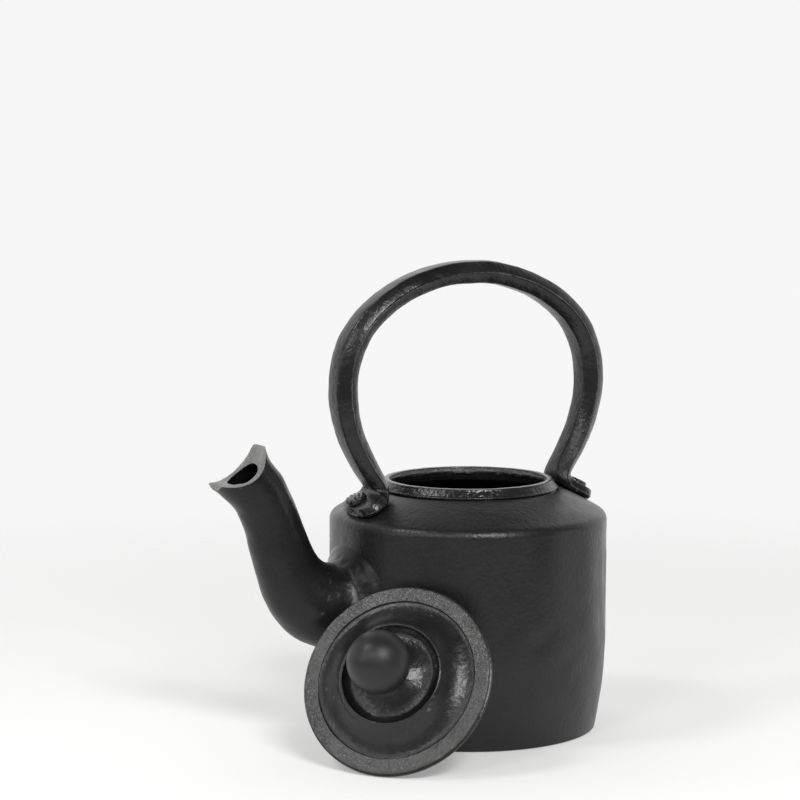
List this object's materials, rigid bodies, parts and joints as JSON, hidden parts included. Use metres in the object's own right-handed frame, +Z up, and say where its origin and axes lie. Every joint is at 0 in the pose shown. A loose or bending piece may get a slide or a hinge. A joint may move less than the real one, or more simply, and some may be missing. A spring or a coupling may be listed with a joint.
{
  "type": "teapot",
  "caption": "Black cast teapot with an upswept spout, an arched handle riveted to the shoulder, and a loose ball-knobbed lid leaning on its side.",
  "frame": {"origin": "centre of the pot's flat base, on the surface it stands on", "axes": "+Z up along the pot's axis, -X towards the spout, the handle's arch in the XZ plane; the lid leans on the pot's side at -X -Y"},
  "size_m": [0.2003, 0.161, 0.2186],
  "materials": {
    "body_paint": "satin",
    "ring_paint": "satin",
    "spout_paint": "satin",
    "handle_paint": "satin",
    "rivet_paint": "satin",
    "lid_paint": "satin",
    "knob_paint": "gloss",
    "screw_steel": "satin"
  },
  "bodies": {
    "pot": {"kettle_body": "body_paint", "neck_ring": "ring_paint", "spout": "spout_paint", "handle": "handle_paint", "handle_rivets": "rivet_paint"},
    "lid": {"lid": "lid_paint", "lid_knob": "knob_paint", "knob_screw": "screw_steel"}
  },
  "joints": [
    {"name": "lid_tip", "type": "hinge", "parent": "pot", "child": "lid", "pos_m": [-0.08501, -0.07416, 0.00062], "axis": [0.6574, -0.7536, 0], "range_deg": [0, 74]}
  ]
}
